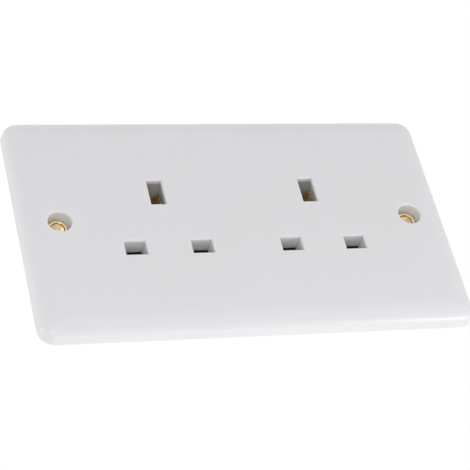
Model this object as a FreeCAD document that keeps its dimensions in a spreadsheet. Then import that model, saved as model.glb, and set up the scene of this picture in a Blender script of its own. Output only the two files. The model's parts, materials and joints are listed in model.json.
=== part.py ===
import FreeCAD, Part
import math
import os
import re
import Sketcher

# A twin 13 A wall socket, without switches, as it is fixed on a wall.
# Millimetres. X runs to the right, Y into the wall and Z up. The wall plane is at y = 0, and the
# origin is midway between the two fixing holes. The face looks along -Y.
# From the front each outlet has its earth slot on top, neutral below left and live below right.

DRIVING_SIZES = [
    # Spacing to each side of the middle. It gives a plate 146 mm wide with its holes 120.6 mm apart.
    ("outlet_pitch", 52.7),
    ("side_bay", 15.535),
    ("fixing_gap", 7.3),
    ("plate_margin", 12.7),
    # Faceplate, a moulded shell that is open at the back
    ("plate_height", 86.0),
    ("plate_depth", 6.0),
    ("plate_corner", 5.5),
    ("plate_draft", 4.0),
    ("plate_edge_round", 1.6),
    ("face_thickness", 2.0),
    ("rim_width", 2.6),
    ("roll_width", 3.0),
    ("roll_drop", 0.35),
    ("roll_blend", 14.0),
    ("rib_thickness", 1.2),
    ("rib_setback", 1.2),
    # Pins of the plug and their slots
    ("pin_offset", 11.115),
    ("line_slot_width", 7.0),
    ("line_slot_height", 5.1),
    ("earth_slot_width", 5.0),
    ("earth_slot_height", 9.6),
    ("mouth_lip", 0.45),
    ("tunnel_wall", 1.1),
    ("tunnel_end", 0.2),
    # Fixing holes with their brass eyelets
    ("recess_radius", 3.85),
    ("recess_depth", 4.7),
    ("boss_radius", 5.2),
    ("boss_reach", 0.8),
    ("eyelet_bore", 2.1),
    ("eyelet_tube_wall", 0.4),
    ("eyelet_crown_rise", 0.7),
    ("eyelet_crown_radius", 3.5),
    ("eyelet_crown_bevel", 0.45),
    ("eyelet_flare_width", 1.1),
    ("eyelet_flare_thickness", 0.4),
    ("eyelet_clearance", 0.05),
    # Rear housing, one moulding for both outlets
    ("housing_top", 27.0),
    ("housing_bottom", 26.0),
    ("housing_rear", 20.4),
    ("housing_wall", 1.6),
    ("housing_floor", 1.6),
    ("housing_corner", 2.5),
    ("locating_gap", 0.2),
    ("locating_rib_rise", 2.0),
    ("inner_wall", 1.2),
    ("earth_well_margin", 1.3),
    ("earth_well_gap", 0.3),
    ("line_well_above", 3.7),
    ("channel_clearance", 0.2),
    # Housing screws and the pillars they pull on
    ("screw_post_inset", 4.9),
    ("screw_post_z", 20.0),
    ("screw_post_joint", 8.0),
    ("screw_post_half", 3.0),
    ("housing_screw_radius", 1.45),
    ("housing_screw_length", 18.0),
    ("housing_screw_head_radius", 2.7),
    ("housing_screw_head_height", 1.5),
    ("housing_screw_clearance", 0.15),
    ("housing_screw_bite", 0.02),
    ("pilot_hole_extra", 0.6),
    # Shutters and their springs
    ("shutter_gap", 0.3),
    ("shutter_thickness", 4.7),
    ("shutter_lap", 0.75),
    ("shutter_land", 0.5),
    ("shutter_tail", 1.0),
    ("shutter_travel", 6.2),
    ("shutter_guide_gap", 0.35),
    ("shutter_stop_gap", 0.1),
    ("shutter_yoke_height", 2.7),
    ("spigot_radius", 1.2),
    ("spigot_length", 2.0),
    ("spring_radius", 1.8),
    ("spring_wire_half", 0.2),
    ("spring_turns", 5.0),
    ("spring_corners", 10.0),
    ("spring_seat_gap", 0.2),
    # Brass bars and the contact jaws on them
    ("bar_thickness", 0.8),
    ("bar_width", 5.0),
    ("bar_tab_width", 6.2),
    ("neutral_bar_z", -2.1),
    ("live_bar_z", -19.9),
    ("jaw_sheet", 0.5),
    ("jaw_half_base", 3.0),
    ("jaw_pinch", 1.6),
    ("jaw_mouth", 2.8),
    ("jaw_knee_height", 3.0),
    ("jaw_mouth_length", 2.6),
    ("jaw_bend", 0.6),
    ("line_jaw_width", 6.2),
    ("line_jaw_height", 11.5),
    ("earth_jaw_width", 9.0),
    ("earth_jaw_height", 17.6),
    # Pillar terminals and their screws
    ("earth_terminal_x", 8.0),
    ("earth_terminal_z", 20.9),
    ("terminal_width", 7.0),
    ("terminal_height", 9.0),
    ("terminal_edge", 0.4),
    ("wire_bore", 2.25),
    ("wire_bore_depth", 5.8),
    ("wire_entry_half_width", 3.6),
    ("wire_entry_half_height", 3.0),
    ("terminal_screw_radius", 1.95),
    ("terminal_screw_fit", 0.05),
    ("terminal_screw_travel", 3.3),
    ("terminal_screw_head_radius", 3.0),
    ("terminal_screw_head_height", 2.0),
    ("terminal_screw_seat_gap", 0.2),
    ("terminal_screw_access", 0.3),
    ("screw_slot_width", 0.9),
    ("screw_slot_depth", 1.0),
    # Straps that earth the fixing screws
    ("strap_thickness", 0.5),
    ("strap_width", 5.0),
    ("strap_pad_half", 4.2),
    ("strap_wall_gap", 0.5),
    ("strap_foot", 5.0),
    ("strap_bend", 0.6),
]

# Places that follow from the driving sizes, each from those above it. Y is counted from the wall
# plane, X and Z from the middle.
PLACES = [
    ("outlet_x", "outlet_pitch / 2"),
    ("housing_x", "outlet_x + pin_offset + side_bay"),
    ("fixing_x", "housing_x + fixing_gap"),
    ("plate_x", "fixing_x + plate_margin"),
    ("plate_z", "plate_height / 2"),
    ("rim_inside_x", "plate_x - rim_width"),
    ("rim_inside_z", "plate_z - rim_width"),
    ("inner_face", "face_thickness - plate_depth"),
    ("roll_start", "roll_drop - plate_depth"),
    ("recess_floor", "recess_depth - plate_depth"),
    ("boss_rear", "boss_reach"),
    ("strap_rear", "boss_rear + strap_thickness"),
    ("eyelet_tube", "eyelet_bore + eyelet_tube_wall"),
    ("eyelet_hole", "eyelet_tube + eyelet_clearance"),
    ("housing_inside_x", "housing_x - housing_wall"),
    ("housing_inside_top", "housing_top - housing_wall"),
    ("housing_inside_bottom", "housing_wall - housing_bottom"),
    ("tray_floor", "housing_rear - housing_floor"),
    ("bar_front", "tray_floor - bar_thickness"),
    ("channel_front", "bar_front - channel_clearance"),
    ("screw_post_x", "housing_inside_x - screw_post_inset"),
    ("shutter_front", "tunnel_end + shutter_gap"),
    ("shutter_rear", "shutter_front + shutter_thickness"),
    ("blade_half_width", "line_slot_width / 2 + shutter_lap"),
    ("blade_half_height", "line_slot_height / 2 + shutter_lap"),
    ("shutter_top", "blade_half_height - pin_offset"),
    ("shutter_bottom", "-pin_offset - blade_half_height"),
    ("lower_wall_top", "shutter_bottom - shutter_stop_gap"),
    ("lower_wall_bottom", "lower_wall_top - inner_wall"),
    ("upper_wall_bottom", "line_well_above - pin_offset"),
    ("upper_wall_top", "upper_wall_bottom + inner_wall"),
    ("upper_wall_front", "shutter_rear + shutter_gap"),
    ("guide_inside", "pin_offset + blade_half_width + shutter_guide_gap"),
    ("guide_outside", "guide_inside + inner_wall"),
    ("earth_well_x", "earth_slot_width / 2 + earth_well_margin"),
    ("earth_well_bottom", "pin_offset - earth_slot_height / 2 - earth_well_margin"),
    ("earth_well_top", "pin_offset + earth_slot_height / 2 + earth_well_margin"),
    ("earth_well_front", "inner_face + earth_well_gap"),
    ("spring_stop", "earth_well_bottom - inner_wall"),
    ("spring_y", "(shutter_front + shutter_rear) / 2"),
    ("spring_low", "shutter_top + spring_seat_gap + spring_wire_half"),
    ("spring_high", "spring_stop - spring_seat_gap - spring_wire_half"),
    ("half_bar", "bar_width / 2"),
    ("half_tab", "bar_tab_width / 2"),
    ("clear_bar", "half_bar + channel_clearance"),
    ("clear_tab", "half_tab + channel_clearance"),
    ("wire_y", "bar_front - wire_bore_depth"),
    ("screw_passage", "terminal_screw_radius + terminal_screw_access"),
    ("screw_seat", "tray_floor + terminal_screw_seat_gap + terminal_screw_travel"),
    ("strap_leg_x", "housing_inside_x - strap_wall_gap"),
    ("strap_inner_x", "strap_leg_x - strap_thickness"),
    ("strap_foot_front", "bar_front - strap_thickness"),
]

doc = FreeCAD.newDocument("twin_socket")
sizes = doc.addObject("Spreadsheet::Sheet", "Sizes")
for row, (name, value) in enumerate(DRIVING_SIZES, start=1):
    sizes.set(f"A{row}", name)
    sizes.set(f"B{row}", str(value))
    sizes.setAlias(f"B{row}", name)
doc.recompute()

SIZE_NAMES = {name for name, value in DRIVING_SIZES}
PLACE_NAMES = {name for name, formula in PLACES}


def bound(formula, inside="Places."):
    """Point each name in a formula at the cell that holds it."""
    def cell(match):
        word = match.group(0)
        if word in SIZE_NAMES:
            return "Sizes." + word
        if word in PLACE_NAMES:
            return inside + word
        return word
    return re.sub(r"[a-z_]+", cell, formula)


places = doc.addObject("Spreadsheet::Sheet", "Places")
for row, (name, formula) in enumerate(PLACES, start=1):
    places.set(f"A{row}", name)
    places.set(f"B{row}", "=" + bound(formula, inside=""))
    places.setAlias(f"B{row}", name)
doc.recompute()

pieces = []

NEAR = 1e-3
SKETCH_GUESS = (20.0, 15.0, 3.0)


def negative(formula):
    return f"-({formula})"


def beside(sign, near, far):
    """The left and right edges of a strip on one side of the middle, from its near and far ends."""
    if sign == "-":
        return negative(far), negative(near)
    return near, far


def around(x, z, half_width, half_height):
    """Formulas for a rectangle centred on a place."""
    across = f"{x} - ({half_width})", f"{x} + ({half_width})"
    return across + (f"{z} - ({half_height})", f"{z} + ({half_height})")


def new_piece(label, x="0", y="0", z="0", turn=None):
    """A body with its own label, placed by formulas and, if asked, turned about one axis."""
    body = doc.addObject("PartDesign::Body", label)
    body.Label = label
    if turn:
        axis, degrees = turn
        body.Placement.Rotation = FreeCAD.Rotation(axis, degrees)
    for direction, formula in (("x", x), ("y", y), ("z", z)):
        if formula != "0":
            body.setExpression(f"Placement.Base.{direction}", bound(formula))
    pieces.append(body)
    return body


def sketch_in(body, name, plane="XZ", at="0"):
    """A sketch parallel to an origin plane, where the third coordinate has the value of at.

    In an XZ sketch the two sketch axes are X and Z, in YZ they are Y and Z, and in XY X and Y.
    """
    sketch = body.newObject("Sketcher::SketchObject", name)
    support = [feature for feature in body.Origin.OriginFeatures if feature.Role == plane + "_Plane"]
    sketch.AttachmentSupport = [(support[0], "")]
    sketch.MapMode = "FlatFace"
    offset = negative(at) if plane == "XZ" else at
    sketch.setExpression("AttachmentOffset.Base.z", bound(offset))
    return sketch


def fix(sketch, kind, geometry, formula):
    """Add one dimension to a sketch and bind it to a formula."""
    index = sketch.addConstraint(Sketcher.Constraint(kind, *geometry))
    label = f"size{index}"
    sketch.renameConstraint(index, label)
    sketch.setExpression("Constraints." + label, bound(formula))


def add_outline(sketch, points):
    """A closed outline of straight edges through points, each a pair of formulas."""
    first = sketch.GeometryCount
    count = len(points)
    for step in range(count):
        start = FreeCAD.Vector(step, step * step, 0)
        after = (step + 1) % count
        end = FreeCAD.Vector(after, after * after, 0)
        sketch.addGeometry(Part.LineSegment(start, end), False)
    for step, (across, up) in enumerate(points):
        edge = first + step
        following = first + (step + 1) % count
        sketch.addConstraint(Sketcher.Constraint("Coincident", edge, 2, following, 1))
        fix(sketch, "DistanceX", (-1, 1, edge, 1, 1.0), across)
        fix(sketch, "DistanceY", (-1, 1, edge, 1, 1.0), up)


def add_box(sketch, box):
    """A rectangle from the formulas of its left, right, bottom and top."""
    left, right, bottom, top = box
    add_outline(sketch, [(left, bottom), (right, bottom), (right, top), (left, top)])


def add_rounded_box(sketch, half_width, half_height, radius):
    """A rectangle about the origin, with its corners rounded, from formulas of its sizes."""
    wide, high, corner = SKETCH_GUESS
    first = sketch.GeometryCount
    flat = wide - corner
    tall = high - corner
    starts = [(-flat, -high), (wide, -tall), (flat, high), (-wide, tall)]
    ends = [(flat, -high), (wide, tall), (-flat, high), (-wide, -tall)]
    centres = [(flat, -tall), (flat, tall), (-flat, tall), (-flat, -tall)]
    for side in range(4):
        start = FreeCAD.Vector(*starts[side], 0)
        end = FreeCAD.Vector(*ends[side], 0)
        sketch.addGeometry(Part.LineSegment(start, end), False)
        circle = Part.Circle(FreeCAD.Vector(*centres[side], 0), FreeCAD.Vector(0, 0, 1), corner)
        angle = (side - 1) * math.pi / 2
        sketch.addGeometry(Part.ArcOfCircle(circle, angle, angle + math.pi / 2), False)
    for step in range(8):
        following = first + (step + 1) % 8
        sketch.addConstraint(Sketcher.Constraint("Tangent", first + step, 2, following, 1))
    for side in range(4):
        kind = "Horizontal" if side % 2 == 0 else "Vertical"
        sketch.addConstraint(Sketcher.Constraint(kind, first + 2 * side))
    for arc in (3, 5, 7):
        sketch.addConstraint(Sketcher.Constraint("Equal", first + 1, first + arc))
    fix(sketch, "Radius", (first + 1, corner), radius)
    fix(sketch, "DistanceX", (-1, 1, first + 2, 1, wide), half_width)
    fix(sketch, "DistanceX", (-1, 1, first + 6, 1, -wide), negative(half_width))
    fix(sketch, "DistanceY", (-1, 1, first + 4, 1, high), half_height)
    fix(sketch, "DistanceY", (-1, 1, first, 1, -high), negative(half_height))


def add_circle(sketch, across, up, radius):
    circle = Part.Circle(FreeCAD.Vector(1, 1, 0), FreeCAD.Vector(0, 0, 1), 1.0)
    index = sketch.addGeometry(circle, False)
    fix(sketch, "DistanceX", (-1, 1, index, 3, 1.0), across)
    fix(sketch, "DistanceY", (-1, 1, index, 3, 1.0), up)
    fix(sketch, "Radius", (index, 1.0), radius)


def pad(body, sketch, length, draft=None, both_sides=False):
    """Pad a sketch along its normal, which is -Y for an XZ sketch."""
    feature = body.newObject("PartDesign::Pad", sketch.Name + "_pad")
    feature.Profile = sketch
    feature.setExpression("Length", bound(length))
    if draft:
        feature.setExpression("TaperAngle", bound(draft))
    if both_sides:
        feature.SideType = "Symmetric"
    doc.recompute()
    return feature


def pocket(body, sketch, length, both_sides=False, along_normal=False):
    """Cut a sketch, against its normal unless told otherwise, and make sure that something was cut."""
    before = body.Shape.Volume
    feature = body.newObject("PartDesign::Pocket", sketch.Name + "_cut")
    feature.Profile = sketch
    feature.Reversed = along_normal
    feature.setExpression("Length", bound(length))
    if both_sides:
        feature.SideType = "Symmetric"
    doc.recompute()
    if body.Shape.Volume >= before:
        raise RuntimeError(f"{body.Label}: {feature.Name} cuts nothing")
    return feature


def raise_boxes(body, name, boxes, front, rear):
    """Walls or ribs that reach from y = rear forward to y = front."""
    sketch = sketch_in(body, name, at=rear)
    for box in boxes:
        add_box(sketch, box)
    return pad(body, sketch, f"({rear}) - ({front})")


def cut_boxes(body, name, boxes, front, rear):
    """Rectangular holes from y = front back to y = rear."""
    sketch = sketch_in(body, name, at=front)
    for box in boxes:
        add_box(sketch, box)
    return pocket(body, sketch, f"({rear}) - ({front})")


def raise_rounds(body, name, spots, radius, front, rear):
    sketch = sketch_in(body, name, at=rear)
    for across, up in spots:
        add_circle(sketch, across, up, radius)
    return pad(body, sketch, f"({rear}) - ({front})")


def cut_rounds(body, name, spots, radius, front, rear):
    sketch = sketch_in(body, name, at=front)
    for across, up in spots:
        add_circle(sketch, across, up, radius)
    return pocket(body, sketch, f"({rear}) - ({front})")


def spin(body, sketch):
    """Turn a profile in the XY plane once round the body's own Y axis."""
    feature = body.newObject("PartDesign::Revolution", sketch.Name + "_turned")
    feature.Profile = sketch
    feature.ReferenceAxis = (sketch, ["V_Axis"])
    feature.Angle = 360
    doc.recompute()
    return feature


def soften(body, name, wanted, size, kind="Chamfer"):
    """Round or chamfer the edges of the body's last feature that pass the test."""
    base = body.Tip
    names = [f"Edge{index}" for index, edge in enumerate(base.Shape.Edges, start=1) if wanted(edge)]
    if not names:
        raise RuntimeError(f"{body.Label}: {name} finds no edges")
    feature = body.newObject("PartDesign::" + kind, name)
    feature.Base = (base, names)
    feature.setExpression("Radius" if kind == "Fillet" else "Size", bound(size))
    doc.recompute()
    return feature


def at_depth(item, depth):
    """Whether a whole edge or face lies at one y."""
    box = item.BoundBox
    return abs(box.YMin - depth) < NEAR and abs(box.YMax - depth) < NEAR


def along_depth(edge):
    """Whether an edge runs from front to rear."""
    box = edge.BoundBox
    return box.XLength < NEAR and box.ZLength < NEAR


def bend_sheet(body, inner, outer, radius, thickness):
    """Ease a folded sheet's inner and outer bends, given as pairs of distance from x = 0 and depth."""
    def test(spots):
        def wanted(edge):
            if edge.BoundBox.XLength > NEAR or edge.BoundBox.ZLength < NEAR:
                return False
            across = abs(edge.CenterOfMass.x)
            return any(abs(across - x) < NEAR and at_depth(edge, depth) for x, depth in spots)
        return wanted
    soften(body, "inner_bends", test(inner), radius)
    soften(body, "outer_bends", test(outer), f"{radius} + (2 - sqrt(2)) * {thickness}")


OUTLETS = {"left": "-outlet_x", "right": "outlet_x"}
SIDES = {"left": "-", "right": ""}
NEUTRAL_X = {side: f"{centre} - pin_offset" for side, centre in OUTLETS.items()}
LIVE_X = {side: f"{centre} + pin_offset" for side, centre in OUTLETS.items()}
LINE_CENTRES = [(x, "-pin_offset") for line in (NEUTRAL_X, LIVE_X) for x in line.values()]
EARTH_CENTRES = [(centre, "pin_offset") for centre in OUTLETS.values()]
FIXING_CENTRES = [(f"{sign}fixing_x", "0") for sign in SIDES.values()]
SCREW_POSTS = [(f"{across}screw_post_x", f"{up}screw_post_z")
               for across in SIDES.values() for up in SIDES.values()]
LINE_TERMINALS = {"neutral_terminal": "-outlet_x", "live_terminal": "outlet_x"}
EARTH_TERMINALS = {f"earth_terminal_{side}": f"{sign}earth_terminal_x" for side, sign in SIDES.items()}
TERMINALS = {name: (x, "live_bar_z") for name, x in LINE_TERMINALS.items()}
TERMINALS.update({name: (x, "earth_terminal_z") for name, x in EARTH_TERMINALS.items()})


def make_faceplate():
    """The front moulding: a drafted shell with slot tunnels, fixing bosses, pillars and ribs."""
    body = new_piece("faceplate")
    outline = sketch_in(body, "plate_outline")
    add_rounded_box(outline, "plate_x", "plate_z", "plate_corner")
    wall = pad(body, outline, "-(roll_start)", draft="-plate_draft")
    front = [f"Face{index}" for index, item in enumerate(wall.Shape.Faces, start=1)
             if at_depth(item, places.roll_start)]
    roll = body.newObject("PartDesign::Pad", "plate_roll")
    roll.Profile = (wall, front)
    roll.setExpression("Length", bound("roll_drop"))
    roll.setExpression("TaperAngle", bound("-atan(roll_width / roll_drop)"))
    doc.recompute()
    face = -sizes.plate_depth
    soften(body, "plate_edge", lambda edge: at_depth(edge, places.roll_start), "plate_edge_round", "Fillet")
    soften(body, "plate_crown", lambda edge: at_depth(edge, face), "roll_blend", "Fillet")

    cavity = sketch_in(body, "plate_cavity", at="inner_face")
    add_rounded_box(cavity, "rim_inside_x", "rim_inside_z", "plate_corner - rim_width")
    pocket(body, cavity, "-(inner_face)")

    tunnels = [around(x, z, "line_slot_width / 2 + tunnel_wall", "line_slot_height / 2 + tunnel_wall")
               for x, z in LINE_CENTRES]
    raise_boxes(body, "tunnels", tunnels, "inner_face", "tunnel_end")
    side_ribs = [beside(sign, "fixing_x", "rim_inside_x") + ("-rib_thickness / 2", "rib_thickness / 2")
                 for sign in SIDES.values()]
    raise_boxes(body, "side_ribs", side_ribs, "inner_face", "-rib_setback")
    upright_ribs = [around(x, z, "rib_thickness / 2", "rim_inside_z") for x, z in FIXING_CENTRES]
    raise_boxes(body, "upright_ribs", upright_ribs, "inner_face", "-rib_setback")
    raise_rounds(body, "fixing_bosses", FIXING_CENTRES, "boss_radius", "inner_face", "boss_rear")
    pillars = [around(x, z, "screw_post_half", "screw_post_half") for x, z in SCREW_POSTS]
    raise_boxes(body, "pillars", pillars, "inner_face", "screw_post_joint")

    frame = sketch_in(body, "locating_rib", at="inner_face + locating_rib_rise")
    for inset in ("locating_gap", "(locating_gap + rib_thickness)"):
        across = f"housing_inside_x - {inset}"
        bottom = f"housing_inside_bottom + {inset}"
        top = f"housing_inside_top - {inset}"
        add_box(frame, (negative(across), across, bottom, top))
    pad(body, frame, "locating_rib_rise")

    line_slots = [around(x, z, "line_slot_width / 2", "line_slot_height / 2") for x, z in LINE_CENTRES]
    cut_boxes(body, "line_slots", line_slots, "-plate_depth", "tunnel_end")
    earth_slots = [around(x, z, "earth_slot_width / 2", "earth_slot_height / 2") for x, z in EARTH_CENTRES]
    cut_boxes(body, "earth_slots", earth_slots, "-plate_depth", "inner_face")
    cut_rounds(body, "screw_recesses", FIXING_CENTRES, "recess_radius", "-plate_depth", "recess_floor")
    cut_rounds(body, "eyelet_holes", FIXING_CENTRES, "eyelet_hole", "recess_floor", "boss_rear")
    grip = "housing_screw_radius + housing_screw_bite"
    pilots = [around(x, z, grip, grip) for x, z in SCREW_POSTS]
    cut_boxes(body, "square_pilot_holes", pilots,
              "housing_rear - housing_screw_length - pilot_hole_extra", "screw_post_joint")

    def at_mouth(edge):
        middle = edge.CenterOfMass
        inside = abs(middle.x) < places.rim_inside_x and abs(middle.z) < places.rim_inside_z
        return inside and at_depth(edge, face)

    soften(body, "mouth_lips", at_mouth, "mouth_lip")
    return body


def make_rear_housing():
    """The rear moulding: a tray whose walls part the contacts and guide the shutters."""
    body = new_piece("rear_housing")
    block = sketch_in(body, "housing_outline", at="housing_rear")
    add_box(block, ("-housing_x", "housing_x", "-housing_bottom", "housing_top"))
    pad(body, block, "housing_rear - (inner_face)")
    soften(body, "housing_corners", along_depth, "housing_corner")
    inside = ("-housing_inside_x", "housing_inside_x", "housing_inside_bottom", "housing_inside_top")
    cut_boxes(body, "housing_cavity", [inside], "inner_face", "tray_floor")

    both_guides = ("-outlet_x - guide_outside", "outlet_x + guide_outside")
    raise_boxes(body, "lower_wall", [both_guides + ("lower_wall_bottom", "lower_wall_top")],
                "shutter_front", "tray_floor")
    guides = [(f"{centre} {sign} guide_{near}", f"{centre} {sign} guide_{far}",
               "lower_wall_bottom", "shutter_top + shutter_travel")
              for centre in OUTLETS.values()
              for sign, near, far in (("-", "outside", "inside"), ("+", "inside", "outside"))]
    raise_boxes(body, "shutter_guides", guides, "shutter_front", "tray_floor")
    raise_boxes(body, "upper_wall", [both_guides + ("upper_wall_bottom", "upper_wall_top")],
                "upper_wall_front", "tray_floor")
    dividers = [(f"{centre} - inner_wall / 2", f"{centre} + inner_wall / 2",
                 "lower_wall_bottom", "upper_wall_top") for centre in OUTLETS.values()]
    raise_boxes(body, "dividers", dividers, "upper_wall_front", "tray_floor")
    raise_boxes(body, "spring_wall", [both_guides + ("spring_stop", "earth_well_bottom")],
                "earth_well_front", "tray_floor")
    well_outside = "(earth_well_x + inner_wall)"
    lids = [(f"{centre} - {well_outside}", f"{centre} + {well_outside}",
             "earth_well_top", "earth_well_top + inner_wall") for centre in OUTLETS.values()]
    raise_boxes(body, "earth_well_lids", lids, "earth_well_front", "tray_floor")
    cheeks = [(f"{centre} {sign} {near}", f"{centre} {sign} {far}",
               "spring_stop", "earth_well_top + inner_wall")
              for centre in OUTLETS.values()
              for sign, near, far in (("-", well_outside, "earth_well_x"),
                                      ("+", "earth_well_x", well_outside))]
    raise_boxes(body, "earth_well_cheeks", cheeks, "earth_well_front", "tray_floor")
    posts = [around(x, z, "screw_post_half", "screw_post_half") for x, z in SCREW_POSTS]
    raise_boxes(body, "screw_posts", posts, "screw_post_joint", "tray_floor")

    neutral_channel = (f"{NEUTRAL_X['left']} - clear_tab", f"{NEUTRAL_X['right']} + clear_tab",
                       "neutral_bar_z - clear_bar", "neutral_bar_z + clear_bar")
    cut_boxes(body, "neutral_channel", [neutral_channel], "channel_front", "tray_floor")
    tabs = [(f"{x} - clear_tab", f"{x} + clear_tab", "-pin_offset", "neutral_bar_z")
            for x in NEUTRAL_X.values()]
    tabs.append(("-outlet_x - clear_tab", "-outlet_x + clear_tab", "live_bar_z", "neutral_bar_z"))
    tabs += [(f"{x} - clear_tab", f"{x} + clear_tab", "live_bar_z", "-pin_offset") for x in LIVE_X.values()]
    cut_boxes(body, "tab_channels", tabs, "channel_front", "tray_floor")
    earth_channel = ("-strap_leg_x", "strap_leg_x", "pin_offset - clear_tab", "pin_offset + clear_tab")
    cut_boxes(body, "earth_channel", [earth_channel], "channel_front", "tray_floor")

    notches = [beside(sign, "housing_inside_x - channel_clearance", "housing_x + channel_clearance")
               + ("-strap_width / 2 - channel_clearance", "strap_width / 2 + channel_clearance")
               for sign in SIDES.values()]
    cut_boxes(body, "strap_notches", notches, "inner_face", "strap_rear + channel_clearance")

    clear = "housing_screw_radius + housing_screw_clearance"
    cut_boxes(body, "screw_clearances", [around(x, z, clear, clear) for x, z in SCREW_POSTS],
              "screw_post_joint", "housing_rear")
    cut_rounds(body, "terminal_access", list(TERMINALS.values()),
               "terminal_screw_head_radius + terminal_screw_access", "tray_floor", "housing_rear")

    half_entry = ("wire_entry_half_width", "wire_entry_half_height")
    entries = sketch_in(body, "line_wire_entries", plane="XY", at="-housing_bottom")
    for x in LINE_TERMINALS.values():
        add_box(entries, around(x, "wire_y", *half_entry))
    pocket(body, entries, "housing_wall", along_normal=True)
    entries = sketch_in(body, "earth_wire_entries", plane="XY", at="housing_top")
    for x in EARTH_TERMINALS.values():
        add_box(entries, around(x, "wire_y", *half_entry))
    pocket(body, entries, "housing_wall")
    return body


def make_shutter(side, centre):
    """A sliding shutter: two ramped blades on one yoke, with a spigot for its spring."""
    body = new_piece(f"shutter_{side}", x=centre)
    for blade_side, sign in SIDES.items():
        blade = sketch_in(body, f"blade_{blade_side}", plane="YZ", at=f"{sign}pin_offset")
        add_outline(blade, [
            ("shutter_front", "shutter_top"),
            ("shutter_front", "shutter_top - shutter_lap - shutter_land"),
            ("shutter_rear - shutter_tail", "shutter_bottom"),
            ("shutter_rear", "shutter_bottom"),
            ("shutter_rear", "shutter_top"),
        ])
        pad(body, blade, "2 * blade_half_width", both_sides=True)
    yoke = ("-(pin_offset - blade_half_width)", "pin_offset - blade_half_width",
            "shutter_top - shutter_yoke_height", "shutter_top")
    raise_boxes(body, "yoke", [yoke], "shutter_front + shutter_land", "shutter_rear - shutter_land")
    spigot = sketch_in(body, "spigot", plane="XY", at="shutter_top")
    add_circle(spigot, "0", "spring_y", "spigot_radius")
    pad(body, spigot, "spigot_length")
    return body


def make_spring(side, centre):
    """A compression spring of square wire between a shutter's yoke and the wall under the earth well.

    Each turn is made of straight runs, which no sketch can hold, so the path is a feature of its own.
    """
    body = new_piece(f"shutter_spring_{side}", x=centre)
    runs = round(sizes.spring_turns * sizes.spring_corners)
    rise = (places.spring_high - places.spring_low) / runs
    corners = []
    for run in range(runs + 1):
        angle = 2 * math.pi * run / sizes.spring_corners
        across = sizes.spring_radius * math.cos(angle)
        depth = places.spring_y - sizes.spring_radius * math.sin(angle)
        corners.append(FreeCAD.Vector(across, depth, places.spring_low + rise * run))
    path = doc.addObject("Part::Feature", f"coil_path_{side}")
    path.Shape = Part.makePolygon(corners)
    wire = sketch_in(body, "wire_section", at="spring_y")
    add_box(wire, around("spring_radius", "spring_low", "spring_wire_half", "spring_wire_half"))
    coil = body.newObject("PartDesign::AdditivePipe", "coil")
    coil.Profile = wire
    coil.Spine = (path, [f"Edge{run + 1}" for run in range(runs)])
    coil.Transition = "Right corner"
    doc.recompute()
    return body


def make_jaw(label, spot, width, height, turn=None):
    """A contact folded from brass sheet: two arms that pinch a pin and flare out at the mouth."""
    body = new_piece(label, x=spot[0], y="bar_front", z=spot[1], turn=turn)
    half = [
        ("jaw_half_base", "0"),
        ("jaw_half_base", "-jaw_knee_height"),
        ("jaw_pinch + jaw_sheet", f"jaw_mouth_length - {height}"),
        ("jaw_mouth + jaw_sheet", f"-{height}"),
        ("jaw_mouth", f"-{height}"),
        ("jaw_pinch", f"jaw_mouth_length - {height}"),
        ("jaw_half_base - jaw_sheet", "-jaw_knee_height"),
        ("jaw_half_base - jaw_sheet", "-jaw_sheet"),
    ]
    fold = sketch_in(body, "fold", plane="XY")
    add_outline(fold, half + [(negative(across), up) for across, up in reversed(half)])
    pad(body, fold, width, both_sides=True)
    inner = [(sizes.jaw_half_base - sizes.jaw_sheet, -sizes.jaw_sheet)]
    outer = [(sizes.jaw_half_base, 0)]
    bend_sheet(body, inner, outer, "jaw_bend", "jaw_sheet")
    return body


def make_bar(label, strips, screws):
    """A flat brass bar from overlapping strips, with square holes for its terminal screws."""
    body = new_piece(label)
    for index, strip in enumerate(strips):
        raise_boxes(body, f"strip_{index}", [strip], "bar_front", "tray_floor")
    holes = [around(x, z, "screw_passage", "screw_passage") for x, z in screws]
    cut_boxes(body, "screw_passages", holes, "bar_front", "tray_floor")
    return body


def make_terminal(label, spot):
    """A brass pillar with a cross bore for the wires and a tapped bore for its screw."""
    body = new_piece(label, x=spot[0], y="bar_front", z=spot[1])
    half = "terminal_width / 2"
    raise_boxes(body, "pillar", [around("0", "0", half, half)], "-terminal_height", "0")
    soften(body, "pillar_edges", along_depth, "terminal_edge")
    bore = sketch_in(body, "wire_bore", plane="XY")
    add_circle(bore, "0", "-wire_bore_depth", "wire_bore")
    pocket(body, bore, "terminal_width", both_sides=True)
    cut_rounds(body, "screw_bore", [("0", "0")], "terminal_screw_radius + terminal_screw_fit",
               "-wire_bore_depth", "0")
    return body


def make_screw(label, spot, seat, shank_radius, shank_length, head_radius, head_height):
    """A slotted screw whose head rests at y = seat and whose shank points to the front."""
    body = new_piece(label, x=spot[0], y=seat, z=spot[1])
    section = sketch_in(body, "screw_section", plane="XY")
    add_outline(section, [
        ("0", f"-({shank_length})"),
        (shank_radius, f"-({shank_length})"),
        (shank_radius, "0"),
        (head_radius, "0"),
        (head_radius, head_height),
        ("0", head_height),
    ])
    spin(body, section)
    slot = around("0", "0", f"{head_radius} + screw_slot_width", "screw_slot_width / 2")
    cut_boxes(body, "driver_slot", [slot], f"{head_height} - screw_slot_depth", head_height)
    return body


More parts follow.
